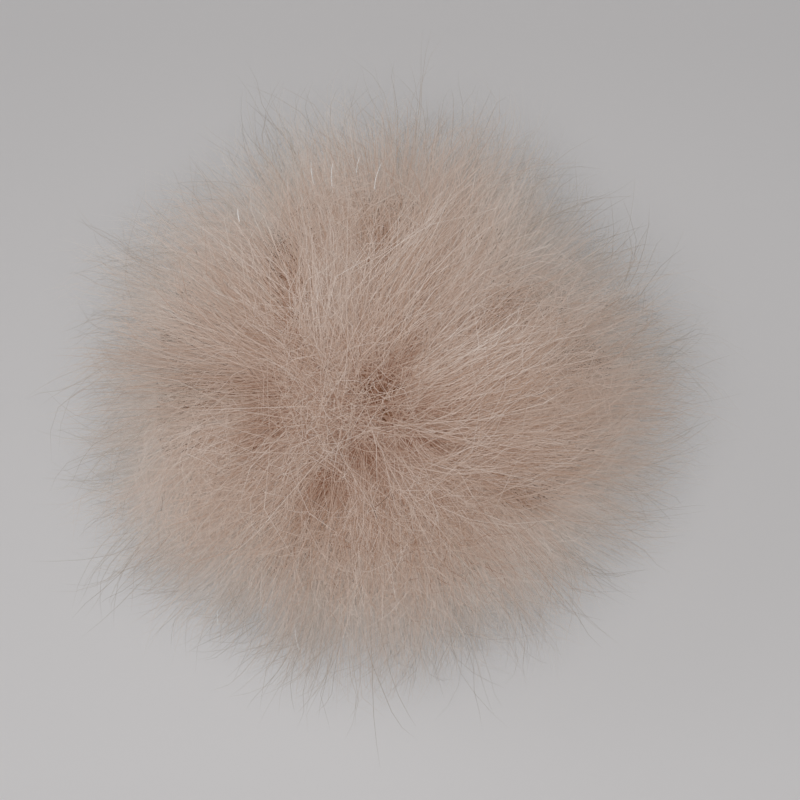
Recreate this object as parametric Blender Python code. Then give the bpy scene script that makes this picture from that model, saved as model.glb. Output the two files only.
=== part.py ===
"""A fluffy long-pile pom pom, lying on a table.

The real one is a round of long-pile fur fabric gathered into a ball, so all that shows is pile.
Here it is one solid: a small round backing with the pile standing out of it all round in locks,
each a four-sided tuft that swells, narrows and ends in a point. The locks stand apart above their
roots. Under the ball they are shorter, and end in flat feet on the table.

Metres, +Z up. The origin is on the table, under the middle of the pile.
"""

import math
import random

import bmesh
import bpy
from mathutils import Vector

# Driving dimensions of the pile, measured from the middle of the ball
PILE_HALF_WIDTH = 0.0625
PILE_HALF_DEPTH = 0.0570
PILE_RISE = 0.0560
CENTRE_HEIGHT = 0.0460  # of the ball's middle above the table, which crushes the pile below it
PILE_SAG = 0.0040  # how far the tips at the ball's side hang down under their own weight

# The pile is combed away from the crown: a tip stands further down the ball than its root does.
# The angles are measured from the crown, at the middle of the ball
COMB_ANGLE = math.radians(24)  # the most that a tip is combed down from its root
COMB_END = math.radians(100)  # where the pile stands straight out again
COMB_CURL = 1.8  # 1 leans a lock evenly along its length, more than 1 bends it near its tip

# The backing and the matted pile on it reach this share of the way to the pile's edge
BACKING_SHARE = 0.58

# Locks stand on a cube's squares swelled to a ball: 6 sides of 7 by 7 make 294 locks
LOCKS_PER_SIDE = 7
LOCK_ANGLE = math.pi / 2 / LOCKS_PER_SIDE  # between neighbours, seen from the middle
ROW_BEND = 0.15  # how far the rows of locks swing from side to side over the ball, in radians
ROW_WAVES = 3.2  # how fast they do, in radians of the swing for each of the ball
LOCK_SPREAD = 0.18  # how unevenly the locks stand in a row, as a share of LOCK_ANGLE
ROOT_GAP = 0.0009  # between the roots of two locks
TIP_LEAN = 0.62  # how far a tip leans at most each way, as a share of its root cell's half width
SHORT_TIP = 0.98  # the shortest and the longest lock's reach, as shares of the pile's
LONG_TIP = 1.24
LONG_TIP_RARITY = 1.6  # 1 gives as many long locks as short ones, more than 1 gives fewer
SEED = 10

# Sections of one lock from root to tip: how far out along the lock each is, and its width as
# a share of the root's cell, which widens with the distance from the middle of the ball
LOCK_SECTIONS = (
    {"name": "belly", "out": 0.28, "width": 0.80},
    {"name": "shoulder", "out": 0.56, "width": 0.60},
    {"name": "neck", "out": 0.80, "width": 0.34},
    {"name": "tip", "out": 1.00, "width": 0.00},
)
FOOT_SECTIONS = (
    {"name": "belly", "out": 0.50, "width": 0.86},
    {"name": "foot", "out": 1.00, "width": 0.80},
)

# The pile's edge from above isn't round: where it bulges and where it is drawn in
EDGE_LOBES = (
    {"azimuth": 2, "rise": 0.0030, "half_angle": 22},
    {"azimuth": 43, "rise": -0.0050, "half_angle": 14},
    {"azimuth": 66, "rise": 0.0025, "half_angle": 14},
    {"azimuth": 104, "rise": 0.0025, "half_angle": 16},
    {"azimuth": 127, "rise": -0.0022, "half_angle": 9},
    {"azimuth": 152, "rise": 0.0015, "half_angle": 16},
    {"azimuth": 205, "rise": 0.0020, "half_angle": 20},
    {"azimuth": 262, "rise": 0.0020, "half_angle": 12},
    {"azimuth": 312, "rise": -0.0022, "half_angle": 18},
)

# Hollows where the pile parts, seen from above. x and y are from the middle of the ball. "open"
# is how far the tips round the hollow are pushed away from it, and "dip" how far it sinks
PARTINGS = (
    {"name": "crown", "x": 0.0000, "y": 0.0020, "size": 0.0060, "open": 0.0024, "dip": 0.0060},
    {"name": "crown_front", "x": -0.0020, "y": -0.0095, "size": 0.0050, "open": 0.0016, "dip": 0.0040},
    {"name": "crown_right", "x": 0.0110, "y": -0.0020, "size": 0.0055, "open": 0.0014, "dip": 0.0030},
    {"name": "left", "x": -0.0250, "y": 0.0010, "size": 0.0075, "open": 0.0028, "dip": 0.0050},
    {"name": "back_left", "x": -0.0225, "y": 0.0240, "size": 0.0070, "open": 0.0028, "dip": 0.0050},
    {"name": "back", "x": 0.0000, "y": 0.0350, "size": 0.0060, "open": 0.0022, "dip": 0.0040},
    {"name": "back_right", "x": 0.0330, "y": 0.0230, "size": 0.0075, "open": 0.0020, "dip": 0.0030},
    {"name": "front_left", "x": -0.0120, "y": -0.0210, "size": 0.0060, "open": 0.0024, "dip": 0.0045},
    {"name": "front_right", "x": 0.0280, "y": -0.0230, "size": 0.0080, "open": 0.0024, "dip": 0.0035},
)


def clear_scene():
    for obj in list(bpy.data.objects):
        bpy.data.objects.remove(obj, do_unlink=True)


def edge_reach(direction):
    """The pile's reach this way as a share of the plain ball's, from the lobes of its edge."""
    azimuth = math.degrees(math.atan2(direction.y, direction.x))
    flatness = direction.x**2 + direction.y**2
    rise = 0.0
    for lobe in EDGE_LOBES:
        away = (azimuth - lobe["azimuth"] + 180) % 360 - 180
        rise += lobe["rise"] * math.exp(-((away / lobe["half_angle"]) ** 2))
    return 1 + flatness * rise / PILE_HALF_WIDTH


def parting_shift(direction, outer):
    """How far the hollows in the upper side move a point that is this far out in the pile."""
    shift = Vector((0.0, 0.0, 0.0))
    for parting in PARTINGS:
        away = Vector(
            (
                direction.x * PILE_HALF_WIDTH - parting["x"],
                direction.y * PILE_HALF_DEPTH - parting["y"],
                0.0,
            )
        )
        steps = away.length / parting["size"]
        fade = math.exp(-(steps**2) / 2)
        shift += away * (parting["open"] / parting["size"] * fade * outer)
        shift -= direction * (parting["dip"] * fade * outer)
    return shift * direction.z


def combed(direction, outer):
    """Where a lock whose tip stands this way points when it's this far out in the pile."""
    from_crown = math.acos(max(-1.0, min(1.0, direction.z)))
    if not 0 < from_crown < COMB_END:
        return direction
    lean = COMB_ANGLE * math.sin(math.pi * from_crown / COMB_END)
    angle = from_crown - lean * (1 - min(1.0, outer) ** COMB_CURL)
    sideways = math.sin(angle) / math.sin(from_crown)
    return Vector((direction.x * sideways, direction.y * sideways, math.cos(angle)))


def pile_point(direction, share):
    """The place at this share of the pile's reach in a lock whose tip stands this way."""
    outer = max(0.0, share - BACKING_SHARE) / (1 - BACKING_SHARE)
    reach = share * edge_reach(direction)
    way = combed(direction, outer)
    point = Vector(
        (
            way.x * PILE_HALF_WIDTH * reach,
            way.y * PILE_HALF_DEPTH * reach,
            way.z * PILE_RISE * reach,
        )
    )
    if direction.z > 0:
        point += parting_shift(direction, outer)
    point.z += CENTRE_HEIGHT - PILE_SAG * (direction.x**2 + direction.y**2) * outer**2
    return point


def share_at_table(direction):
    """The share of its reach at which a fibre that leaves this way meets the table."""
    near, far = BACKING_SHARE, 2.0
    for _ in range(40):
        middle = (near + far) / 2
        if pile_point(direction, middle).z > 0:
            near = middle
        else:
            far = middle
    return near


def uneven_cells(rng):
    """A unit ball of 6 x 7 x 7 uneven four-sided cells, one for each lock."""
    cells = bmesh.new()
    bmesh.ops.create_cube(cells, size=2.0)
    bmesh.ops.subdivide_edges(
        cells, edges=cells.edges[:], cuts=LOCKS_PER_SIDE - 1, use_grid_fill=True
    )
    for vert in cells.verts:
        # The tangent makes the cells nearly equal once the cube is swelled to a ball
        place = Vector([math.tan(c * math.pi / 4) for c in vert.co]).normalized()
        bend = Vector([math.sin(c * ROW_WAVES) for c in (place.y, place.z, place.x)]) * ROW_BEND
        nudge = Vector([rng.uniform(-1, 1) for _ in range(3)]) * LOCK_SPREAD * LOCK_ANGLE
        vert.co = (place + bend + nudge).normalized()
    return cells


class Lock:
    """One tuft of pile: where it points, how it leans and how far it reaches."""

    def __init__(self, cell, rng):
        self.axis = cell.calc_center_median().normalized()
        sides = [(edge.verts[0].co + edge.verts[1].co) / 2 for edge in cell.edges]
        half_width = min((side - self.axis).length for side in sides)
        lean = Vector([rng.uniform(-1, 1) for _ in range(3)]) * TIP_LEAN * half_width
        reach = SHORT_TIP + (LONG_TIP - SHORT_TIP) * rng.random() ** LONG_TIP_RARITY
        self.reach = min(reach, share_at_table(self.axis))
        if self.reach < SHORT_TIP:
            self.sections = FOOT_SECTIONS
            self.tip = self.axis
        else:
            self.sections = LOCK_SECTIONS
            self.tip = (self.axis + lean).normalized()
        self.middle = self.axis
        self.width = 1.0

    def shape_cap(self, cap, section):
        """Moves a fresh cap's corners out to this section and narrows it."""
        middle = self.axis.lerp(self.tip, section["out"] ** 2).normalized()
        share = BACKING_SHARE + (self.reach - BACKING_SHARE) * section["out"]
        for vert in cap.verts:
            beside = vert.co.normalized() - self.middle
            direction = (middle + beside * section["width"] / self.width).normalized()
            table = share_at_table(direction)
            on_table = section["name"] == "foot" or share > table
            vert.co = direction * (table if on_table else share)
        self.middle = middle
        self.width = section["width"]


def grow_locks(ball, rng):
    """Draws every cell of the backing out into its lock. The mesh is still in shares here."""
    number = ball.faces.layers.int.new("lock")
    locks = []
    for cell in ball.faces:
        cell[number] = len(locks)
        locks.append(Lock(cell, rng))
    for vert in ball.verts:
        vert.co *= BACKING_SHARE
    caps = ball.faces[:]
    bmesh.ops.inset_individual(ball, faces=caps, thickness=ROOT_GAP / 2 / PILE_HALF_WIDTH)
    for step in range(len(LOCK_SECTIONS)):
        growing = [cap for cap in caps if step < len(locks[cap[number]].sections)]
        caps = bmesh.ops.extrude_discrete_faces(ball, faces=growing)["faces"]
        for cap in caps:
            lock = locks[cap[number]]
            lock.shape_cap(cap, lock.sections[step])


def settle_on_table(ball):
    """Turns shares into places, with the feet on the table and the pile's middle over the origin."""
    for vert in ball.verts:
        share = vert.co.length
        vert.co = pile_point(vert.co.normalized(), share)
    # The four corners of each tip are at one place, and become one point
    bmesh.ops.remove_doubles(ball, verts=ball.verts[:], dist=ROOT_GAP / 100)
    sides = [
        (min(v.co[i] for v in ball.verts) + max(v.co[i] for v in ball.verts)) / 2 for i in (0, 1)
    ]
    for vert in ball.verts:
        vert.co -= Vector((sides[0], sides[1], 0.0))


def pile_material():
    """Acrylic pile, dusty pinkish beige, dull with a faint sheen."""
    material = bpy.data.materials.new("acrylic_pile")
    material.use_nodes = True
    shader = material.node_tree.nodes["Principled BSDF"]
    shader.inputs["Base Color"].default_value = (0.37, 0.27, 0.22, 1.0)
    shader.inputs["Roughness"].default_value = 0.75
    shader.inputs["Metallic"].default_value = 0.0
    shader.inputs["Sheen Weight"].default_value = 0.3
    return material


def make_pom_pom(collection):
    rng = random.Random(SEED)
    ball = uneven_cells(rng)
    grow_locks(ball, rng)
    settle_on_table(ball)
    bmesh.ops.triangulate(ball, faces=ball.faces[:])
    bmesh.ops.recalc_face_normals(ball, faces=ball.faces[:])
    mesh = bpy.data.meshes.new("pom_pom")
    ball.to_mesh(mesh)
    ball.free()
    mesh.materials.append(pile_material())
    pom_pom = bpy.data.objects.new("pom_pom", mesh)
    collection.objects.link(pom_pom)


def main():
    clear_scene()
    collection = bpy.data.collections.new("pom_pom")
    bpy.context.scene.collection.children.link(collection)
    make_pom_pom(collection)


main()
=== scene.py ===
import math

import bpy
import numpy as np
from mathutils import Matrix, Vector, kdtree


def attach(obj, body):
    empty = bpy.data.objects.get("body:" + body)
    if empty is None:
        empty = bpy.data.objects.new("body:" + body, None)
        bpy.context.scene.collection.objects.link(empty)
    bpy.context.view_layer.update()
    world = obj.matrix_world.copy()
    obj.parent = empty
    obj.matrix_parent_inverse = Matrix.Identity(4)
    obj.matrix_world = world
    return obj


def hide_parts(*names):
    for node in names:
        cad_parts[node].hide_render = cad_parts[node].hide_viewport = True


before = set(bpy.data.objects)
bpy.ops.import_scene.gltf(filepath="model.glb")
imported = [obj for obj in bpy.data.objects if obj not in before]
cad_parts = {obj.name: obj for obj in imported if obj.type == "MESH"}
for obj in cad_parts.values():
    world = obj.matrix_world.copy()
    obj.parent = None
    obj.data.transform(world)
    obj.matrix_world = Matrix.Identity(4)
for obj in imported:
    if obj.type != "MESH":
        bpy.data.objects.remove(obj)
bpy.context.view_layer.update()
bpy.ops.object.select_all(action="DESELECT")

# The ball of pile: the same sizes as the solid that it dresses, measured from the ball's middle
ball = {
    "middle": (-0.0021, 0.0009, 0.0460),
    "halfWidth": 0.0625,
    "halfDepth": 0.0570,
    "rise": 0.0560,
    "sag": 0.0040,  # how far the tips at the widest part hang down
    "combAngle": 24,  # degrees that a tip is combed down from its root
    "combEnd": 100,  # degrees from the crown where the pile stands straight out
    "combCurl": 1.8,  # more than 1 bends a lock most towards its tip
    "backing": 0.58,  # share of the way to the pile's edge
}

# Bulges and notches of the edge from above, in degrees and metres
edgeLobes = [
    {"azimuth": 2, "rise": 0.0030, "halfAngle": 22},
    {"azimuth": 43, "rise": -0.0050, "halfAngle": 14},
    {"azimuth": 66, "rise": 0.0025, "halfAngle": 14},
    {"azimuth": 104, "rise": 0.0025, "halfAngle": 16},
    {"azimuth": 127, "rise": -0.0022, "halfAngle": 9},
    {"azimuth": 152, "rise": 0.0015, "halfAngle": 16},
    {"azimuth": 205, "rise": 0.0020, "halfAngle": 20},
    {"azimuth": 262, "rise": 0.0020, "halfAngle": 12},
    {"azimuth": 312, "rise": -0.0022, "halfAngle": 18},
]

# Hollows where the pile parts, x and y from the ball's middle
partings = [
    {"x": 0.0000, "y": 0.0020, "size": 0.0060, "open": 0.0024, "dip": 0.0060},
    {"x": -0.0020, "y": -0.0095, "size": 0.0050, "open": 0.0016, "dip": 0.0040},
    {"x": 0.0110, "y": -0.0020, "size": 0.0055, "open": 0.0014, "dip": 0.0030},
    {"x": -0.0250, "y": 0.0010, "size": 0.0075, "open": 0.0028, "dip": 0.0050},
    {"x": -0.0225, "y": 0.0240, "size": 0.0070, "open": 0.0028, "dip": 0.0050},
    {"x": 0.0000, "y": 0.0350, "size": 0.0060, "open": 0.0022, "dip": 0.0040},
    {"x": 0.0330, "y": 0.0230, "size": 0.0075, "open": 0.0020, "dip": 0.0030},
    {"x": -0.0120, "y": -0.0210, "size": 0.0060, "open": 0.0024, "dip": 0.0045},
    {"x": 0.0280, "y": -0.0230, "size": 0.0080, "open": 0.0024, "dip": 0.0035},
]


def unit(vectors):
    return vectors / np.maximum(np.linalg.norm(vectors, axis=-1, keepdims=True), 1e-9)


def edgeReach(way):
    azimuth = np.degrees(np.arctan2(way[..., 1], way[..., 0]))
    rise = np.zeros_like(azimuth)
    for lobe in edgeLobes:
        away = (azimuth - lobe["azimuth"] + 180) % 360 - 180
        rise += lobe["rise"] * np.exp(-((away / lobe["halfAngle"]) ** 2))
    return 1 + (way[..., 0] ** 2 + way[..., 1] ** 2) * rise / ball["halfWidth"]


def combed(way, outer, combAngle, combStart):
    fromCrown = np.arccos(np.clip(way[..., 2], -1, 1))
    end = math.radians(ball["combEnd"])
    rise = np.sin(np.pi * np.minimum(fromCrown, end) / end)
    lean = combAngle * np.maximum(rise, 0) ** combStart
    angle = fromCrown - lean * (1 - np.minimum(1, outer) ** ball["combCurl"])
    sideways = np.sin(angle) / np.maximum(np.sin(fromCrown), 1e-6)
    return np.stack((way[..., 0] * sideways, way[..., 1] * sideways, np.cos(angle)), axis=-1)


def partingShift(way, outer):
    shift = np.zeros_like(way)
    for parting in partings:
        away = np.zeros_like(way)
        away[..., 0] = way[..., 0] * ball["halfWidth"] - parting["x"]
        away[..., 1] = way[..., 1] * ball["halfDepth"] - parting["y"]
        steps = np.linalg.norm(away, axis=-1) / parting["size"]
        fade = (np.exp(-(steps**2) / 2) * outer)[..., None]
        shift += away * parting["open"] / parting["size"] * fade
        shift -= way * parting["dip"] * fade
    return shift * np.maximum(way[..., 2:], 0)


def pilePlace(way, share, combAngle, combStart=1.0):
    # the place at this share of the pile's reach in a fibre whose tip stands this way. A combStart
    # of more than 1 leaves the pile at the crown standing up
    outer = np.maximum(0, share - ball["backing"]) / (1 - ball["backing"])
    reach = share * edgeReach(way)
    place = combed(way, outer, combAngle, combStart) * reach[..., None]
    place *= (ball["halfWidth"], ball["halfDepth"], ball["rise"])
    place += partingShift(way, outer)
    place[..., 2] -= ball["sag"] * (way[..., 0] ** 2 + way[..., 1] ** 2) * outer**2
    return place + ball["middle"]


def tipWays(place):
    # pilePlace the other way round: the way and the share that reach these places
    sizes = np.array((ball["halfWidth"], ball["halfDepth"], ball["rise"]))
    guess = (place - ball["middle"]) / sizes
    comb = math.radians(ball["combAngle"])
    for _ in range(30):
        share = np.linalg.norm(guess, axis=-1)
        miss = place - pilePlace(guess / share[..., None], share, comb)
        guess = guess + miss / sizes * 0.7
    share = np.linalg.norm(guess, axis=-1)
    return guess / share[..., None], share


def srgb(hexColour):
    # an sRGB hex colour as the linear one that a socket takes
    parts = [int(hexColour[i : i + 2], 16) / 255 for i in (1, 3, 5)]
    linear = [c / 12.92 if c <= 0.04045 else ((c + 0.055) / 1.055) ** 2.4 for c in parts]
    return (*linear, 1.0)


def addNode(tree, kind, settings=None, links=None):
    # links: socket name or number -> (node, socket name) or a fixed value
    node = tree.nodes.new(kind)
    for name, value in (settings or {}).items():
        setattr(node, name, value)
    for name, source in (links or {}).items():
        if isinstance(source, tuple) and isinstance(source[0], bpy.types.Node):
            tree.links.new(source[0].outputs[source[1]], node.inputs[name])
        else:
            node.inputs[name].default_value = source
    return node


def newMaterial(name):
    material = bpy.data.materials.new(name)
    material.use_nodes = True
    material.node_tree.nodes.clear()
    return material, material.node_tree


fibreMap = "OFBake"  # every fibre lies in it by its shade, across, and from root to tip, up


def acrylicFibre(name, settings):
    # spun acrylic fibre, drawn fine and dyed, and no two fibres quite the same shade. It is deeper
    # and warmer towards the root, as painted shade of the fibres over it, and greyer towards the tip
    material, tree = newMaterial(name)
    place = addNode(tree, "ShaderNodeUVMap", {"uv_map": fibreMap})
    parts = addNode(tree, "ShaderNodeSeparateXYZ", links={0: (place, 0)})
    ramps = []
    for colours in (settings["rootColours"], settings["tipColours"]):
        ramp = addNode(tree, "ShaderNodeValToRGB", links={0: (parts, "X")})
        ramp.color_ramp.elements[0].color = srgb(colours[0])
        ramp.color_ramp.elements[1].color = srgb(colours[1])
        ramps.append(ramp)
    mix = addNode(
        tree,
        "ShaderNodeMix",
        {"data_type": "RGBA"},
        {0: (parts, "Y"), 6: (ramps[0], 0), 7: (ramps[1], 0)},
    )
    shader = addNode(
        tree,
        "ShaderNodeBsdfPrincipled",
        links={
            "Base Color": (mix, 2),
            "Roughness": settings["roughness"],
            "IOR": 1.49,
            "Sheen Weight": settings["sheen"],
            "Sheen Roughness": 0.5,
        },
    )
    addNode(tree, "ShaderNodeOutputMaterial", links={"Surface": (shader, 0)})
    return material


# Where the rings of a fibre are from root to tip, and how wide it is there
fibreKinds = {
    "crown": {"rings": (0.0, 0.42, 0.74, 1.0), "widths": (1.0, 0.90, 0.60, 0.0), "ownNormal": 0.55},
    "side": {"rings": (0.0, 0.62, 1.0), "widths": (1.0, 0.80, 0.0), "ownNormal": 0.10},
    "wisp": {
        "rings": (0.0, 0.22, 0.42, 0.60, 0.75, 0.88, 1.0),
        "widths": (1.0, 0.98, 0.92, 0.84, 0.72, 0.52, 0.0),
        "ownNormal": 0.30,
    },
}
upNormal = 0.9  # how far all normals lean up


def modelFibre(kind):
    # one fibre as by hand: a three-sided cone cut through at its rings, 1 long and 1 in radius
    bpy.ops.mesh.primitive_cone_add(vertices=3, radius1=1, radius2=0, depth=1, location=(0, 0, 0.5))
    cone = bpy.context.object
    bpy.ops.object.transform_apply(location=True)
    bpy.ops.object.mode_set(mode="EDIT")
    for height in kind["rings"][1:-1]:
        bpy.ops.mesh.select_all(action="SELECT")
        bpy.ops.mesh.bisect(plane_co=(0, 0, height), plane_no=(0, 0, 1))
    bpy.ops.mesh.select_all(action="SELECT")
    bpy.ops.mesh.quads_convert_to_tris()
    bpy.ops.object.mode_set(mode="OBJECT")
    points = np.array([v.co for v in cone.data.vertices])
    kind["faces"] = np.array([f.vertices for f in cone.data.polygons])
    kind["times"] = np.array(kind["rings"])
    kind["ring"] = np.abs(points[:, 2:] - kind["times"]).argmin(axis=1)
    kind["angle"] = np.arctan2(points[:, 1], points[:, 0])
    bpy.data.objects.remove(cone)
    print("one fibre:", len(points), "points", len(kind["faces"]), "faces")


for kind in fibreKinds.values():
    modelFibre(kind)


def makeFibres(name, kind, paths, radii, shades, tones, material):
    # copies the one fibre along every path (fibre, ring, xyz) into one mesh. A tone for each ring
    # says where it is between the root colour, 0, and the tip colour, 1
    count = len(paths)
    ring = kind["ring"]
    angle = kind["angle"]
    tangent = unit(np.gradient(paths, axis=1))
    side = np.cross(tangent[:, :1], np.roll(tangent[:, :1], 1, axis=-1) + (0.3, 0.5, 0.2))
    side = np.repeat(unit(side), tangent.shape[1], axis=1)
    for i in range(1, tangent.shape[1]):  # each ring turns no further than the fibre bends
        along = (side[:, i - 1] * tangent[:, i]).sum(-1, keepdims=True) * tangent[:, i]
        side[:, i] = unit(side[:, i - 1] - along)
    other = np.cross(tangent, side)
    width = (radii[:, None] * np.array(kind["widths"])[None, :])[:, ring, None]
    corner = paths[:, ring] + side[:, ring] * np.cos(angle)[:, None] * width
    corner = corner + other[:, ring] * np.sin(angle)[:, None] * width
    perFibre = len(ring)
    index = kind["faces"][None] + np.arange(count)[:, None, None] * perFibre
    index = index.reshape(-1).astype(np.int32)
    mesh = bpy.data.meshes.new(name)
    mesh.vertices.add(count * perFibre)
    mesh.vertices.foreach_set("co", corner.reshape(-1).astype(np.float32))
    mesh.loops.add(len(index))
    mesh.loops.foreach_set("vertex_index", index)
    mesh.polygons.add(len(index) // 3)
    mesh.polygons.foreach_set("loop_start", np.arange(0, len(index), 3, dtype=np.int32))
    mesh.polygons.foreach_set("use_smooth", np.ones(len(index) // 3, bool))
    mesh.update(calc_edges=True)
    across = (0.5 + 0.5 * np.cos(angle))[None, :]
    u = np.clip(shades, 0, 1)[:, ring] * 0.99 + across * 0.01
    v = np.clip(tones, 0, 1)[:, ring]
    uv = np.stack((u, v), axis=-1).reshape(-1, 2)[index]
    layer = mesh.uv_layers.new(name=fibreMap)
    layer.data.foreach_set("uv", uv.reshape(-1).astype(np.float32))
    mesh.materials.append(material)
    # fibres lean their normals outwards, as light soaks through the pile more than round each fibre
    own = unit(corner - paths[:, ring])
    outwards = unit((corner - ball["middle"]) / (ball["halfWidth"], ball["halfDepth"], ball["rise"]))
    normals = unit(own * kind["ownNormal"] + outwards + (0, 0, upNormal))
    mesh.normals_split_custom_set_from_vertices(normals.reshape(-1, 3))
    piece = bpy.data.objects.new(name, mesh)
    bpy.context.collection.objects.link(piece)
    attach(piece, "root")
    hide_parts("pom_pom")
    print(name, count, "fibres", len(index) // 3, "triangles")


# The pile. Shares and reaches are of the way from the ball's middle to its edge
pile = {
    "fibres": 76000,
    "crownFrom": 0.60,  # how high on the ball the fibres of the crown start, with more rings
    "underTo": -0.25,  # and how low those of the sides end
    "underDensity": 0.55,  # how many of the fibres that the sides have grow under the ball
    "crownThinning": 0.35,  # how many fewer grow at the crown, where they are thicker
    "rootShare": 0.76,
    "lowRoots": 0.075,  # how much further out roots are under the ball
    "shortReach": 0.78,
    "longReach": 1.24,
    "shortness": 2.3,  # the higher, the more of the fibres at the sides are short
    "evenness": 1.1,  # how much less so on the crown and under the ball
    "crownTrim": 0.12,  # how much shorter the longest are on the crown
    # at the root. Real fibres are about 0.03 mm thick: one drawn is coarser and stands for several
    "radius": (0.000036, 0.000056),
    "rimRadius": 0.56,  # times that radius, at the rim, on the crown and under the ball
    "crownRadius": 1.8,
    "underRadius": 1.9,
    "combAngle": (20, 36),
    "combStart": 1.6,  # more than 1 leaves the crown standing up
    "lockSize": 0.11,  # how wide a lock of the solid is
    "lockRise": 0.4,  # how much longer the pile is where that lock is longer
    "lockPull": 0.25,  # how far fibres gather to the solid's locks, and to clumps and tufts
    "clumps": 600,  # a clump is a few tufts that lie alike
    "clumpPull": 0.40,
    "clumpRise": 0.07,
    "clumpLean": 0.15,
    "tufts": 2600,
    "tuftPull": 0.70,
    "tuftRise": 0.04,
    "tuftLean": 0.06,
    "lean": 0.035,  # how far each fibre strays by itself
    "strays": 0.05,  # the share of fibres that stray more
    "strayLean": 0.15,
    "wideSwing": 0.06,  # how far neighbours swing sideways together, in wide and in tight waves
    "tightSwing": 0.05,
    "bow": 0.055,
    "frizz": 0.00022,  # how far each ring of a fibre is off its smooth path
    "crushed": (0.0004, 0.0018),  # how high above the table the lowest fibres lie
    "crushedOut": 0.7,
    "stubs": 0.97,  # the share of fibres that are short stubs in the middle of a gap
    "stubLength": (0.25, 0.55),
    "crownShade": 0.23,  # shades run from 0, warm and deep, to 1, pale and grey
    # painted light: the thin pile at the rim is painted paler and greyer, as light comes through it
    "rimPaintedLight": 0.77,  # how much paler the rim is than the crown
    # painted shade under the ball
    "underPaintedShade": -0.45,
    "fibreShade": 0.08,
    "clumpShade": 0.09,
    "tuftShade": 0.16,
    # stubs and what lies low in a gap are darker and warmer as painted shade
    "stubPaintedShade": -0.25,
    "gapPaintedShade": -0.26,
    # the root colour is painted shade: fibres off the crown, and more so low down, start part way to
    # the tip colour
    "rootTone": 0.45,  # tones run from 0, the root's colour, to 1, the tip's
    "lowRootTone": 0.25,
    "stubPaintedTone": 0.4,
    "gapPaintedRootTone": -0.40,
    # the root colours are deeper as painted shade of the pile over them; shade 1's near-white tip is
    # painted light for the rim
    "rootColours": ("#865230", "#cdae97"),  # at shade 0 and at shade 1
    "tipColours": ("#c9ab96", "#fbf6f1"),
    "roughness": 0.6,
    "sheen": 0.15,
    "seed": 4,
}

# The pile on top lies away from this whorl, x and y from the ball's middle. lean is how far the tips
# go. In the whorl itself it lies every way, in one matted tuft
whorl = {"x": -0.0110, "y": -0.0050, "lean": 0.36, "size": 0.0085, "mess": 0.22, "rise": 0.05}

# Where the pile is tangled, x and y from the ball's middle, in metres. mess is how far tips stray
tangles = [
    {"x": -0.0145, "y": -0.0030, "size": 0.0080, "mess": 0.20},
    {"x": 0.0020, "y": 0.0010, "size": 0.0060, "mess": 0.12},
    {"x": -0.0030, "y": -0.0270, "size": 0.0070, "mess": 0.08},
    {"x": 0.0140, "y": -0.0300, "size": 0.0080, "mess": 0.08},
]

# Where the edge is thinner than elsewhere, in degrees and as a share of the reach
rimTrims = [
    {"azimuth": 0, "less": 0.065, "halfAngle": 14},
    {"azimuth": 30, "less": 0.045, "halfAngle": 10},
    {"azimuth": 54, "less": 0.030, "halfAngle": 12},
    {"azimuth": 86, "less": 0.075, "halfAngle": 15},
    {"azimuth": 135, "less": 0.060, "halfAngle": 12},
    {"azimuth": 163, "less": 0.030, "halfAngle": 9},
    {"azimuth": 180, "less": 0.115, "halfAngle": 24},
    {"azimuth": 232, "less": 0.025, "halfAngle": 12},
    {"azimuth": 270, "less": 0.040, "halfAngle": 10},
    {"azimuth": 343, "less": 0.055, "halfAngle": 12},
]

# Where it is swept to one side. toX and toY are how far the tips are swept
sweeps = [
    {"x": -0.0106, "y": 0.0124, "size": 0.0080, "toX": 0.0090, "toY": -0.0020},
    {"x": 0.0204, "y": 0.0014, "size": 0.0120, "toX": -0.0010, "toY": 0.0050},
    {"x": 0.0280, "y": -0.0110, "size": 0.0140, "toX": 0.0000, "toY": 0.0060},
    {"x": 0.0200, "y": -0.0190, "size": 0.0090, "toX": 0.0030, "toY": 0.0070},
    {"x": -0.0230, "y": 0.0330, "size": 0.0080, "toX": -0.0080, "toY": -0.0040},
    {"x": -0.0156, "y": 0.0225, "size": 0.0070, "toX": 0.0070, "toY": 0.0030},
    {"x": -0.0350, "y": -0.0110, "size": 0.0120, "toX": 0.0020, "toY": -0.0070},
    {"x": -0.0260, "y": -0.0250, "size": 0.0080, "toX": -0.0070, "toY": 0.0040},
    {"x": 0.0084, "y": 0.0236, "size": 0.0080, "toX": -0.0050, "toY": 0.0000},
]
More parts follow.
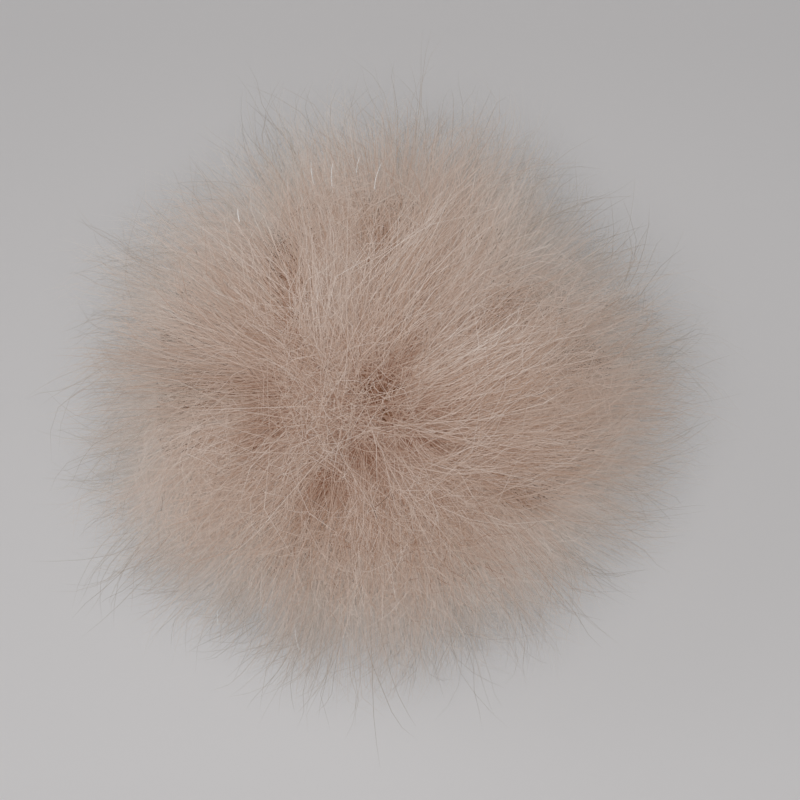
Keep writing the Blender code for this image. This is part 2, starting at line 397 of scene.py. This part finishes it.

# Where the pile stands open over its roots, and painted warm shade darkens what lies low there: x and
# y from the ball's middle, half the length and width, the way it runs in degrees, and how open it is
gaps = [
    {"x": 0.0003, "y": 0.0014, "long": 0.0018, "wide": 0.0016, "turn": 0, "open": 0.7},
    {"x": 0.0055, "y": 0.0068, "long": 0.0050, "wide": 0.0014, "turn": 50, "open": 0.5},
    {"x": 0.0014, "y": -0.0036, "long": 0.0015, "wide": 0.0015, "turn": 0, "open": 0.7},
    {"x": -0.0022, "y": -0.0133, "long": 0.0045, "wide": 0.0020, "turn": -45, "open": 0.75},
    {"x": -0.0109, "y": -0.0192, "long": 0.0032, "wide": 0.0030, "turn": 0, "open": 1.0},
    {"x": -0.0240, "y": -0.0046, "long": 0.0080, "wide": 0.0034, "turn": 90, "open": 0.8},
    {"x": -0.0195, "y": 0.0229, "long": 0.0070, "wide": 0.0020, "turn": 90, "open": 0.7},
    {"x": 0.0008, "y": 0.0345, "long": 0.0055, "wide": 0.0018, "turn": 90, "open": 0.7},
    {"x": 0.0118, "y": 0.0241, "long": 0.0045, "wide": 0.0020, "turn": 70, "open": 0.5},
    {"x": 0.0273, "y": 0.0183, "long": 0.0070, "wide": 0.0026, "turn": 25, "open": 0.6},
    {"x": 0.0450, "y": 0.0088, "long": 0.0040, "wide": 0.0020, "turn": 10, "open": 0.5},
    {"x": 0.0283, "y": -0.0218, "long": 0.0055, "wide": 0.0022, "turn": -15, "open": 0.5},
    {"x": -0.0090, "y": -0.0311, "long": 0.0050, "wide": 0.0026, "turn": 20, "open": 0.25},
    {"x": 0.0098, "y": -0.0023, "long": 0.0045, "wide": 0.0018, "turn": 35, "open": 0.25},
    {"x": 0.0088, "y": -0.0102, "long": 0.0055, "wide": 0.0016, "turn": 0, "open": 0.75},
    {"x": -0.0265, "y": -0.0218, "long": 0.0040, "wide": 0.0026, "turn": 0, "open": 0.3},
]

# Tufts that stand up or lie low. shade paints each lighter, as painted light, or darker, as painted
# shade
raisedTufts = [
    {"x": -0.0060, "y": 0.0220, "size": 0.0090, "rise": 0.05, "shade": 0.14},
    {"x": -0.0150, "y": 0.0150, "size": 0.0060, "rise": 0.04, "shade": 0.10},
    {"x": 0.0190, "y": -0.0010, "size": 0.0080, "rise": 0.04, "shade": 0.44},
    {"x": 0.0300, "y": -0.0090, "size": 0.0110, "rise": 0.00, "shade": -0.28},
    {"x": -0.0265, "y": -0.0216, "size": 0.0090, "rise": 0.00, "shade": -0.02},
    {"x": 0.0300, "y": 0.0250, "size": 0.0120, "rise": 0.00, "shade": 0.06},
    {"x": -0.0109, "y": -0.0192, "size": 0.0040, "rise": -0.02, "shade": -0.12},
    {"x": 0.0088, "y": -0.0102, "size": 0.0035, "rise": -0.01, "shade": -0.12},
    {"x": -0.0120, "y": -0.0060, "size": 0.0080, "rise": 0.02, "shade": 0.04},
]


def spreadWays(count, rng):
    # even ways all over a ball, by golden-angle steps, then nudged
    i = np.arange(count) + 0.5
    z = 1 - 2 * i / count
    turn = i * math.pi * (3 - math.sqrt(5))
    flat = np.sqrt(1 - z**2)
    ways = np.stack((flat * np.cos(turn), flat * np.sin(turn), z), axis=-1)
    return unit(ways + rng.normal(0, 1.2 / math.sqrt(count), ways.shape))


def nearest(ways, centres):
    tree = kdtree.KDTree(len(centres))
    for i, centre in enumerate(centres):
        tree.insert(centre, i)
    tree.balance()
    return np.array([tree.find(way)[1] for way in ways])


def lockTips():
    # tips of the solid's locks: points with no neighbour further from the ball's middle
    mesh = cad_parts["pom_pom"].data
    places = np.array([v.co for v in mesh.vertices])
    keys, index = np.unique(np.round(places, 6), axis=0, return_inverse=True)
    index = index.reshape(-1)
    far = np.linalg.norm(keys - ball["middle"], axis=-1)
    highest = np.zeros(len(keys))
    for face in mesh.polygons:
        corner = index[list(face.vertices)]
        for a in corner:
            for b in corner:
                if a != b:
                    highest[a] = max(highest[a], far[b])
    return keys[(far > highest) & (keys[:, 2] > 0.002)]


def smoothBend(way, seed, waves, size):
    # a slow sideways swing that neighbours share
    rng = np.random.default_rng(seed)
    bend = np.zeros_like(way)
    for _ in range(6):
        turn = rng.normal(0, waves, (3, 3))
        phase = rng.uniform(0, 2 * np.pi, 3)
        bend += np.sin(way @ turn + phase)
    return bend * size / math.sqrt(6)


def spotFade(flat, spot):
    away = (flat - (spot["x"], spot["y"])) / spot["size"]
    return np.exp(-(away**2).sum(-1) / 2)


def gapDepth(place, wider):
    # how much of a gap there is over this place, from 0 to 1
    depth = np.zeros(place.shape[:-1])
    upper = np.clip((place[..., 2] - ball["middle"][2]) * 100, 0, 1)
    for gap in gaps:
        away = place[..., :2] - ball["middle"][:2] - (gap["x"], gap["y"])
        turn = math.radians(gap["turn"])
        along = (away @ (math.cos(turn), math.sin(turn))) / gap["long"]
        across = (away @ (-math.sin(turn), math.cos(turn))) / gap["wide"]
        depth += gap["open"] * np.exp(-(along**2 + across**2) / 2 / wider**2)
    return np.minimum(depth * upper, 1)


def topLean(ways):
    # how a fibre on top leans away from the whorl, and where its middle then is, from above
    sizes = np.array((ball["halfWidth"], ball["halfDepth"]))
    flat = ways[:, :2] * sizes
    fromCrown = np.arccos(np.clip(ways[:, 2], -1, 1))
    end = math.radians(ball["combEnd"])
    combShare = np.sin(np.pi * np.minimum(fromCrown, end) / end) ** pile["combStart"]
    combShare = np.where(fromCrown < end / 2, combShare, 1)[:, None]
    away = flat - (whorl["x"], whorl["y"])
    far = np.linalg.norm(away, axis=1, keepdims=True)
    away *= (1 - np.exp(-((far / whorl["size"]) ** 2))) / np.maximum(far, 1e-6)
    lean = whorl["lean"] * (1 - combShare) * away
    middle = flat + 0.5 * lean * sizes - 0.5 * whorl["lean"] * combShare * flat
    return lean, middle


def rimTrim(ways):
    azimuth = np.degrees(np.arctan2(ways[:, 1], ways[:, 0]))
    less = np.zeros(len(ways))
    for trim in rimTrims:
        away = (azimuth - trim["azimuth"] + 180) % 360 - 180
        less += trim["less"] * np.exp(-((away / trim["halfAngle"]) ** 2))
    return less


def lowness(ways):
    # 0 from the widest part of the ball up, and 1 well below it
    return np.clip(-0.1 - 2.5 * ways[:, 2], 0, 1)


def fibrePaths(ways, rng, kind):
    # a path for each fibre that is rooted this way, with its middle from above and its shade
    count = len(ways)
    t = kind["times"][None, :]
    lock = nearest(ways, lockWays)
    clump = nearest(ways, clumpWays)
    tuft = nearest(ways, tuftWays)
    lean, middle = topLean(ways)
    upper = np.clip(ways[:, 2] * 3, 0, 1)  # 1 on the upper half, for what the tables above say
    messy = np.clip(ways[:, 2] * 1.4 - 0.3, 0, 1)  # 1 on the crown, where the pile is unruly
    low = lowness(ways)
    inWhorl = spotFade(middle, whorl) * upper
    comb = np.radians(rng.uniform(*pile["combAngle"], count))[:, None]
    for spot in sweeps:
        to = np.array((spot["toX"] / ball["halfWidth"], spot["toY"] / ball["halfDepth"]))
        lean += (spotFade(middle, spot) * upper)[:, None] * to
    lean += clumpLeans[clump] * pile["clumpLean"] * (0.3 + 0.7 * messy)[:, None]
    lean += tuftLeans[tuft] * pile["tuftLean"]
    lean = np.column_stack((lean, np.zeros(count)))
    # most fibres at the sides are short, and under the ball they are much of one length
    reach = rng.random(count) ** (pile["shortness"] - pile["evenness"] * (messy + low))
    reach = pile["shortReach"] + (pile["longReach"] - pile["shortReach"]) * reach
    reach -= rimTrim(ways) * (1 - messy)
    reach -= np.maximum(reach - 0.95, 0) / 0.29 * pile["crownTrim"] * messy
    reach += whorl["rise"] * inWhorl
    toLock = lockWays[lock] - ways
    nearness = np.exp(-((np.linalg.norm(toLock, axis=-1) / pile["lockSize"]) ** 2))
    reach += (lockShares[lock] - 1.05) * pile["lockRise"] * nearness  # as against a reach of 1.05
    reach += clumpRises[clump] * pile["clumpRise"] + tuftRises[tuft] * pile["tuftRise"]
    reach += sum(spotFade(middle, spot) * spot["rise"] for spot in raisedTufts) * upper
    mess = pile["lean"] * (1 + 0.8 * messy)
    mess += sum(spotFade(middle, spot) * spot["mess"] for spot in tangles) * upper
    mess += (rng.random(count) < pile["strays"]) * pile["strayLean"] + whorl["mess"] * inWhorl
    lean += rng.normal(0, 1, (count, 3)) * mess[:, None]
    lean += smoothBend(ways, 11, 4, pile["wideSwing"]) + smoothBend(ways, 12, 12, pile["tightSwing"])
    lockPull = pile["lockPull"] * (1 - messy)[:, None, None]
    way = ways[:, None, :] + toLock[:, None] * lockPull * (t**1.6)[..., None]
    way = way + (clumpWays[clump] - ways)[:, None] * (pile["clumpPull"] * t**1.6)[..., None]
    way = way + (tuftWays[tuft] - ways)[:, None] * (pile["tuftPull"] * t**1.3)[..., None]
    way = way + lean[:, None] * (t ** (1.3 + 0.3 * messy[:, None]))[..., None]
    bow = rng.normal(0, 1, (count, 3)) * (pile["bow"] * (0.4 + 1.1 * messy))[:, None]
    way = way + bow[:, None] * (4 * t * (1 - t))[..., None]
    way = unit(way)
    root = (pile["rootShare"] + pile["lowRoots"] * low)[:, None]
    share = root + (reach[:, None] - root) * (1 - (1 - t) ** 1.5)
    paths = pilePlace(way, share, comb, pile["combStart"])
    frizz = pile["frizz"] * (1 + 1.6 * messy[:, None, None])
    paths += rng.normal(0, 1, paths.shape) * frizz * (t[..., None] > 0)
    shades = clumpShades[clump] * pile["clumpShade"] + tuftShades[tuft] * pile["tuftShade"]
    return paths, middle, shades


def alongPath(paths, kind, t):
    # the place at this share of every fibre's length
    times = kind["times"]
    ring = min(np.searchsorted(times, t, side="right"), len(times) - 1)
    step = paths[:, ring] - paths[:, ring - 1]
    return paths[:, ring - 1] + step * (t - times[ring - 1]) / (times[ring] - times[ring - 1])


def growPile(name, ways, rng, kind):
    # grows these fibres. Over a gap most are short stubs, as the tall ones lie to its sides
    paths, middle, shades = fibrePaths(ways, rng, kind)
    paths = keepOffTable(paths, rng)
    cover = np.zeros(len(ways))
    for t in (0.4, 0.55, 0.7, 0.85, 1.0):
        cover = np.maximum(cover, gapDepth(alongPath(paths, kind, t), 1.0))
    short = rng.random(len(ways)) < cover * pile["stubs"]
    stub = paths[:, :1] + (paths - paths[:, :1]) * rng.uniform(*pile["stubLength"], (len(ways), 1, 1))
    paths = np.where(short[:, None, None], stub, paths)
    crownness = np.clip((ways[:, 2] - 0.45) / 0.5, 0, 1)
    rimness = np.clip(1 - np.abs(ways[:, 2] - 0.1) / 0.5, 0, 1)
    underness = np.clip(-0.2 - ways[:, 2] * 3, 0, 1)
    thickness = 1 + (pile["crownRadius"] - 1) * crownness + (pile["rimRadius"] - 1) * rimness
    thickness += (pile["underRadius"] - 1) * underness
    radii = rng.uniform(*pile["radius"], len(ways)) * thickness
    shades += rng.normal(0, pile["fibreShade"], len(ways))
    shades *= 1 - 0.6 * np.clip(1.2 - ways[:, 2] * 1.6, 0, 1)  # fibres are more alike down the sides
    # painted light: the pile is paler and greyer from the crown out to the rim
    shades += pile["crownShade"] + pile["rimPaintedLight"] * (1 - np.maximum(ways[:, 2], 0)) ** 1.4
    # painted shade: fibres under the ball are deeper and warmer
    shades += pile["underPaintedShade"] * np.clip(-0.1 - 2 * ways[:, 2], 0, 1)
    # painted light and shade on the raised and low tufts
    shades += sum(spotFade(middle, spot) * spot["shade"] for spot in raisedTufts)
    # how much painted root shade each fibre shows: all of it on the crown, less down the sides and
    # low down
    start = pile["rootTone"] * (1 - crownness)
    start += pile["lowRootTone"] * np.clip(1 - 2 * ways[:, 2], 0, 1)
    # stubs in a gap keep the root's painted shade along their whole length, and are painted darker
    # still
    start = (start * ~short)[:, None]
    end = np.where(short, pile["stubPaintedTone"], 1.0)[:, None]
    tones = start + (end - start) * kind["times"]
    sizes = (ball["halfWidth"], ball["halfDepth"], ball["rise"])
    # painted warm shade on the rings that lie deep in a gap
    deep = np.clip((1.02 - np.linalg.norm((paths - ball["middle"]) / sizes, axis=-1)) / 0.14, 0, 1)
    paintedGapShade = gapDepth(paths, 0.8) * deep  # what lies low in a gap is in warm shade
    shades = shades[:, None] + pile["stubPaintedShade"] * short[:, None] + pile["gapPaintedShade"] * paintedGapShade
    tones = tones + pile["gapPaintedRootTone"] * paintedGapShade
    makeFibres(name, kind, paths, radii, shades, tones, pileFibre)


def keepOffTable(paths, rng):
    # the pile under the ball is crushed: it turns outwards along the table
    low, high = pile["crushed"]
    floor = low + (high - low) * rng.random((len(paths), 1)) * np.linspace(0, 1, paths.shape[1])
    below = np.maximum(0, floor - paths[..., 2])
    outwards = paths[..., :2] - ball["middle"][:2]
    outwards = outwards / np.maximum(np.linalg.norm(outwards, axis=-1, keepdims=True), 1e-5)
    paths[..., :2] += outwards * (below * pile["crushedOut"])[..., None]
    paths[..., 2] = np.maximum(paths[..., 2], floor)
    return paths


rng = np.random.default_rng(pile["seed"])
lockPlaces = lockTips()
lockWays, lockShares = tipWays(lockPlaces)
print("locks of the solid:", len(lockPlaces), "that reach", lockShares.min(), "to", lockShares.max())
tuftWays = spreadWays(pile["tufts"], rng)
clumpWays = spreadWays(pile["clumps"], rng)
clumpRises = rng.uniform(-1, 1, pile["clumps"])
clumpLeans = rng.normal(0, 1, (pile["clumps"], 2))
clumpShades = rng.normal(0, 1, pile["clumps"])
tuftShades = rng.normal(0, 1, pile["tufts"])
tuftRises = rng.normal(0, 1, pile["tufts"])
tuftLeans = rng.normal(0, 1, (pile["tufts"], 2))

# crimped and brushed acrylic: dull, with a soft sheen where many fibres overlap
pileFibre = acrylicFibre("acrylicPileFibre", pile)
ways = spreadWays(pile["fibres"] * 3 // 2, rng)
density = np.clip(1.0 + ways[:, 2] * 1.2, pile["underDensity"], 1)
density *= 1 - pile["crownThinning"] * np.clip(ways[:, 2] * 3 - 2, 0, 1)
ways = ways[rng.random(len(ways)) < density]
rng.shuffle(ways)
ways = ways[: pile["fibres"]]
azimuth = np.degrees(np.arctan2(ways[:, 1], ways[:, 0])) % 360
crown = ways[:, 2] > pile["crownFrom"]
under = ways[:, 2] < pile["underTo"]
left = ways[:, 0] < 0
growPile("pile_crown_left", ways[crown & left], rng, fibreKinds["crown"])
growPile("pile_crown_right", ways[crown & ~left], rng, fibreKinds["crown"])
growPile("pile_under_left", ways[under & left], rng, fibreKinds["side"])
growPile("pile_under_right", ways[under & ~left], rng, fibreKinds["side"])
for i, name in enumerate(("pile_right", "pile_back", "pile_left", "pile_front")):
    sector = np.floor(((azimuth + 45) % 360) / 90) == i
    growPile(name, ways[sector & ~crown & ~under], rng, fibreKinds["side"])


# Loose longer fibres that stand past the pile's edge
wisps = {
    "bunches": 260,
    "inBunch": 6,
    "lowest": -0.35,  # how low and how high on the ball they stand
    "highest": 0.75,
    "spread": 0.035,  # of a bunch
    "rootShare": 0.80,
    "reach": (1.00, 1.36),
    "ownReach": 0.3,  # how much of its reach a wisp has by itself. The rest its bunch shares
    "radius": (0.000036, 0.000062),
    "lean": 0.10,  # how far a whole bunch leans and bends, and then each wisp in it
    "ownLean": 0.04,
    "bow": 0.0060,
    "ownBow": 0.0020,
    "hook": 0.0035,  # at the tip
    "squiggle": 0.0009,
    "turns": (6, 13),  # of the squiggle, in radians
    "combAngle": 24,
    "room": (0.0860, 0.0800),  # how far from the middle they may reach, along x and y
    "rootColours": ("#bfa58f", "#dcc9b8"),
    "tipColours": ("#aca49c", "#d2cbc4"),
    "roughness": 0.35,
    "sheen": 0.0,
    "seed": 9,
}


def makeWisps():
    # loose guard fibres in bunches that bend alike and hook at their tips
    rng = np.random.default_rng(wisps["seed"])
    kind = fibreKinds["wisp"]
    t = kind["times"][None, :]
    bunchWays = spreadWays(wisps["bunches"] * 3 // 2, rng)
    stands = (bunchWays[:, 2] > wisps["lowest"]) & (bunchWays[:, 2] < wisps["highest"])
    bunchWays = bunchWays[stands][: wisps["bunches"]]
    bunch = np.repeat(np.arange(len(bunchWays)), wisps["inBunch"])
    count = len(bunch)
    ways = unit(bunchWays[bunch] + rng.normal(0, wisps["spread"], (count, 3)))
    lean = rng.normal(0, wisps["lean"], (len(bunchWays), 3))[bunch]
    lean = lean + rng.normal(0, wisps["ownLean"], (count, 3))
    way = ways[:, None, :] + lean[:, None] * t[..., None]
    reach = rng.random(len(bunchWays))[bunch] * (1 - wisps["ownReach"])
    reach = reach + rng.random(count) * wisps["ownReach"]
    reach = wisps["reach"][0] + (wisps["reach"][1] - wisps["reach"][0]) * reach - rimTrim(ways)
    share = wisps["rootShare"] + (reach[:, None] - wisps["rootShare"]) * t
    paths = pilePlace(unit(way), share, math.radians(wisps["combAngle"]), pile["combStart"])
    along = unit(paths[:, -1] - paths[:, 0])
    bend = rng.normal(0, wisps["bow"], (len(bunchWays), 3))[bunch]
    bend = (bend + rng.normal(0, wisps["ownBow"], (count, 3)))[:, None] * (t**2)[..., None]
    atTip = (np.maximum(0, t - 0.6) / 0.4)[..., None] ** 2
    bend = bend + rng.normal(0, wisps["hook"], (count, 1, 3)) * atTip
    phase = rng.uniform(0, 2 * math.pi, (count, 1, 3))
    turns = rng.uniform(*wisps["turns"], (count, 1, 1))
    bend = bend + wisps["squiggle"] * t[..., None] * np.sin(turns * t[..., None] + phase)
    bend -= (bend * along[:, None]).sum(-1, keepdims=True) * along[:, None]
    paths = keepOffTable(paths + bend, rng)
    inRoom = (np.abs(paths[:, :, :2] - ball["middle"][:2]) < wisps["room"]).all(axis=(1, 2))
    paths = paths[inRoom]
    count = len(paths)
    radii = rng.uniform(*wisps["radius"], count)
    shades = np.repeat(rng.random((count, 1)), len(kind["times"]), axis=1)
    tones = np.tile(kind["times"], (count, 1))
    # single stretched fibres, not brushed up: smoother than the pile, and grey against the table
    material = acrylicFibre("looseAcrylicFibre", wisps)
    makeFibres("wisps", kind, paths, radii, shades, tones, material)


makeWisps()


# Short curled fibres that mat the tangles on the crown
fuzz = {
    "fibres": 1700,
    "share": (0.86, 1.02),
    "length": (0.004, 0.011),
    "radius": (0.000048, 0.000072),
    "curl": 0.0011,
    "turns": (4, 9),  # of the curl, in radians
    "upright": 0.8,  # 0 lets it grow every way alike
    "clearOfGaps": 0.95,
    "shade": 0.28,
    "shadeSpread": 0.16,
    "seed": 23,
}


def makeFuzz():
    rng = np.random.default_rng(fuzz["seed"])
    kind = fibreKinds["wisp"]
    count = fuzz["fibres"]
    t = kind["times"][None, :]
    weight = np.array([spot["mess"] * spot["size"] for spot in tangles])
    spot = rng.choice(len(tangles), count, p=weight / weight.sum())
    middles = np.array([(tangles[i]["x"], tangles[i]["y"], tangles[i]["size"]) for i in spot])
    flat = middles[:, :2] + rng.normal(0, 1, (count, 2)) * middles[:, 2:]
    flat = flat / (ball["halfWidth"], ball["halfDepth"])
    flat = flat[(flat**2).sum(-1) < 0.7]
    count = len(flat)
    ways = np.column_stack((flat, np.sqrt(1 - (flat**2).sum(-1))))
    share = rng.uniform(*fuzz["share"], count)
    comb = math.radians(ball["combAngle"])
    roots = pilePlace(ways, share, comb)
    heading = unit(rng.normal(0, 1, (count, 3)) + ways * fuzz["upright"])
    sideways = unit(np.cross(heading, rng.normal(0, 1, (count, 3))))
    length = rng.uniform(*fuzz["length"], count)
    phase = rng.uniform(0, 2 * math.pi, (count, 1))
    paths = roots[:, None] + heading[:, None] * (length[:, None] * t)[..., None]
    turns = rng.uniform(*fuzz["turns"], (count, 1))
    paths += sideways[:, None] * (fuzz["curl"] * np.sin(turns * t + phase))[..., None]
    cover = np.maximum(gapDepth(paths[:, 2], 1.2), gapDepth(paths[:, -1], 1.2))
    cover = np.maximum(cover, gapDepth(paths[:, 4], 1.2))
    paths = paths[rng.random(count) > fuzz["clearOfGaps"] * cover]
    count = len(paths)
    radii = rng.uniform(*fuzz["radius"], count)
    shades = rng.normal(fuzz["shade"], fuzz["shadeSpread"], (count, 1))
    shades = np.repeat(shades, len(kind["times"]), axis=1)
    tones = np.tile(kind["times"], (count, 1))
    makeFibres("crown_fuzz", kind, paths, radii, shades, tones, pileFibre)


makeFuzz()


# A few glossy fibres lie on the pile and flash white, painted near white as a highlight
glossy = {
    "radius": 0.00009,
    "height": 1.10,  # as a share of the ball's
    "slope": 0.6,  # 1 lies along the ball's own slope
    "bow": 0.05,  # as a share of the length
    # near white: a painted highlight
    "rootColours": ("#f6f3f0", "#f6f3f0"),
    "tipColours": ("#ffffff", "#ffffff"),
    "roughness": 0.15,
    "sheen": 0.0,
}

# x and y from the ball's middle, and the way they run in degrees
glossyFibres = [
    {"x": -0.0283, "y": 0.0375, "length": 0.0030, "turn": 98},
    {"x": -0.0132, "y": 0.0466, "length": 0.0056, "turn": 97},
    {"x": -0.0089, "y": 0.0455, "length": 0.0070, "turn": 90},
    {"x": -0.0037, "y": 0.0485, "length": 0.0040, "turn": 78},
    {"x": 0.0004, "y": 0.0455, "length": 0.0060, "turn": 75},
    {"x": -0.0340, "y": -0.0470, "length": 0.0036, "turn": 86},
    {"x": -0.0170, "y": -0.0510, "length": 0.0060, "turn": 97},
]


def makeGlossyFibres():
    kind = fibreKinds["wisp"]
    t = kind["times"][:, None]
    paths = []
    for fibre in glossyFibres:
        flat = np.array((fibre["x"] / ball["halfWidth"], fibre["y"] / ball["halfDepth"]))
        height = math.sqrt(max(0.10, 1 - (flat**2).sum())) * ball["rise"] * glossy["height"]
        middle = np.array(ball["middle"]) + (fibre["x"], fibre["y"], height)
        turn = math.radians(fibre["turn"])
        along = np.array((math.cos(turn), math.sin(turn), 0.0)) * fibre["length"]
        along[2] = -glossy["slope"] * (along[:2] * flat).sum()
        bow = np.array((-math.sin(turn), math.cos(turn), 0.0)) * fibre["length"] * glossy["bow"]
        paths.append(middle + along * (t - 0.5) + bow * 4 * t * (1 - t))
    count = len(paths)
    shades = np.full((count, len(kind["times"])), 0.5)
    tones = np.tile(kind["times"], (count, 1))
    # acrylic without a crimp: smooth so that it glints in the dull pile, and painted nearly white as
    # a highlight
    material = acrylicFibre("glossyFibrePaintedHighlight", glossy)
    radii = np.full(count, glossy["radius"])
    makeFibres("glossy_fibres_painted_highlight", kind, np.array(paths), radii, shades, tones, material)


makeGlossyFibres()


# The matted undercoat that the pile's roots make
undercoat = {
    "share": 0.765,
    "lumps": 0.0012,
    "mats": 900.0,  # in a metre: each is 1.1 mm, coarser than real matted ends, so that it shows
    "matDepth": 0.0005,
    # painted shade: warm and deep on top, greyer and paler lower down
    "greyBelow": 0.040,  # heights between which the roots turn from grey to warm
    "warmAbove": 0.072,
    "greyColours": ("#8c786b", "#b3a192"),
    "warmColours": ("#68401f", "#8e6240"),
    "lowest": 0.0006,
}


def mattedMaterial():
    # matted acrylic roots of the pile: rough, and painted deep in colour as shade, because light is
    # lost there
    material, tree = newMaterial("mattedPileRoots")
    place = addNode(tree, "ShaderNodeTexCoord")
    noise = addNode(
        tree,
        "ShaderNodeTexNoise",
        links={0: (place, "Object"), "Scale": undercoat["mats"], "Detail": 4.0},
    )
    ramps = []
    for colours in (undercoat["greyColours"], undercoat["warmColours"]):
        ramp = addNode(tree, "ShaderNodeValToRGB", links={0: (noise, 0)})
        ramp.color_ramp.elements[0].position = 0.35
        ramp.color_ramp.elements[0].color = srgb(colours[0])
        ramp.color_ramp.elements[1].position = 0.65
        ramp.color_ramp.elements[1].color = srgb(colours[1])
        ramps.append(ramp)
    # the painted shade is greyer and paler down the sides, to match the pile's painted light there
    parts = addNode(tree, "ShaderNodeSeparateXYZ", links={0: (place, "Object")})
    height = addNode(
        tree,
        "ShaderNodeMapRange",
        links={0: (parts, "Z"), 1: undercoat["greyBelow"], 2: undercoat["warmAbove"]},
    )
    mix = addNode(
        tree,
        "ShaderNodeMix",
        {"data_type": "RGBA"},
        {0: (height, 0), 6: (ramps[0], 0), 7: (ramps[1], 0)},
    )
    bump = addNode(
        tree,
        "ShaderNodeBump",
        links={"Height": (noise, 0), "Strength": 0.8, "Distance": undercoat["matDepth"]},
    )
    shader = addNode(
        tree,
        "ShaderNodeBsdfPrincipled",
        links={"Base Color": (mix, 2), "Normal": (bump, 0), "Roughness": 0.9, "IOR": 1.49},
    )
    addNode(tree, "ShaderNodeOutputMaterial", links={"Surface": (shader, 0)})
    return material


def makeUndercoat():
    bpy.ops.mesh.primitive_ico_sphere_add(subdivisions=5, radius=1, location=(0, 0, 0))
    coat = bpy.context.object
    coat.name = "undercoat"
    coat.data.name = "undercoat"
    mesh = coat.data
    places = np.zeros(len(mesh.vertices) * 3)
    mesh.vertices.foreach_get("co", places)
    way = unit(places.reshape(-1, 3))
    lump = smoothBend(way, 5, 16, 1.0)[:, 0] * undercoat["lumps"] / ball["rise"]
    share = undercoat["share"] + pile["lowRoots"] * lowness(way)
    share += lump * np.clip(1 + 2 * way[:, 2], 0, 1)
    placed = pilePlace(way, share, math.radians(ball["combAngle"]))
    placed[:, 2] = np.maximum(placed[:, 2], undercoat["lowest"])
    mesh.vertices.foreach_set("co", placed.reshape(-1))
    mesh.update()
    bpy.ops.object.shade_smooth()
    mesh.materials.append(mattedMaterial())
    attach(coat, "root")
    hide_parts("pom_pom")
    print("undercoat", len(mesh.polygons), "triangles")


makeUndercoat()


# The table, the room's light, the lamps and the camera
studio = {
    "table": 12.0,
    # the front is lighter as painted light
    "tableFront": "#dad8d8",
    "tableBack": "#c6c4c4",
    "cameraHeight": 0.50,  # above the ball's middle
    "viewWidth": 0.1779,  # of the photo, at the height of the ball's middle
    "photoMiddle": (0.0049, -0.0007),  # of the photo from the ball's middle
    "roomColour": "#dcdcde",
    "roomLight": 0.17,
    "lampsAimAt": (0, 0, 0.04),
}

# scatteredLight is what the pale pile scatters on inside itself, so it casts no shadows
lamps = {
    "ceilingPanel": {"place": (-0.04, 0.0, 1.25), "size": 0.6, "power": 5.2, "colour": "#ffffff"},
    "window": {"place": (-0.8, 0.4, 0.9), "size": 0.7, "power": 1.2, "colour": "#fbfcff"},
    "scatteredLight": {"place": (0.0, 0.0, 1.25), "size": 0.9, "power": 4.4, "colour": "#ffffff"},
}


def makeTable():
    # a matte board, painted a little lighter towards the front as light that falls brighter there
    bpy.ops.mesh.primitive_circle_add(vertices=96, radius=studio["table"], fill_type="NGON")
    table = bpy.context.object
    table.name = "table"
    material, tree = newMaterial("matteBoard")
    place = addNode(tree, "ShaderNodeTexCoord")
    parts = addNode(tree, "ShaderNodeSeparateXYZ", links={0: (place, "Object")})
    depth = addNode(
        tree,
        "ShaderNodeMapRange",
        links={0: (parts, "Y"), 1: -studio["viewWidth"] / 2, 2: studio["viewWidth"] / 2},
    )
    ramp = addNode(tree, "ShaderNodeValToRGB", links={0: (depth, 0)})
    ramp.color_ramp.elements[0].color = srgb(studio["tableFront"])
    ramp.color_ramp.elements[1].color = srgb(studio["tableBack"])
    shader = addNode(
        tree, "ShaderNodeBsdfPrincipled", links={"Base Color": (ramp, 0), "Roughness": 0.9}
    )
    addNode(tree, "ShaderNodeOutputMaterial", links={"Surface": (shader, 0)})
    table.data.materials.append(material)


def addSoftLight(name, settings):
    light = bpy.data.lights.new(name, "AREA")
    light.shape = "DISK"
    light.size = settings["size"]
    light.energy = settings["power"]
    light.color = srgb(settings["colour"])[:3]
    light.use_shadow = name != "scatteredLight"
    lamp = bpy.data.objects.new(name, light)
    lamp.location = settings["place"]
    towards = Vector(studio["lampsAimAt"]) - Vector(settings["place"])
    lamp.rotation_mode = "QUATERNION"
    lamp.rotation_quaternion = towards.to_track_quat("-Z", "Y")
    lamp.visible_camera = False
    bpy.context.collection.objects.link(lamp)


def lightStudio():
    world = bpy.data.worlds.new("softRoom")
    world.use_nodes = True
    world.node_tree.nodes["Background"].inputs[0].default_value = srgb(studio["roomColour"])
    world.node_tree.nodes["Background"].inputs[1].default_value = studio["roomLight"]
    bpy.context.scene.world = world
    for name, settings in lamps.items():
        addSoftLight(name, settings)


def placeCamera():
    camera = bpy.data.cameras.new("camera")
    camera.sensor_width = 36
    camera.lens = 18 * studio["cameraHeight"] / (studio["viewWidth"] / 2)
    view = bpy.data.objects.new("camera", camera)
    view.location = (
        ball["middle"][0] + studio["photoMiddle"][0],
        ball["middle"][1] + studio["photoMiddle"][1],
        ball["middle"][2] + studio["cameraHeight"],
    )
    bpy.context.collection.objects.link(view)
    bpy.context.scene.camera = view


makeTable()
lightStudio()
placeCamera()
bpy.context.scene.view_settings.view_transform = "Standard"
print("table, lamps and camera")

bpy.context.scene.cycles.debug_use_spatial_splits = True  # long thin faces render faster
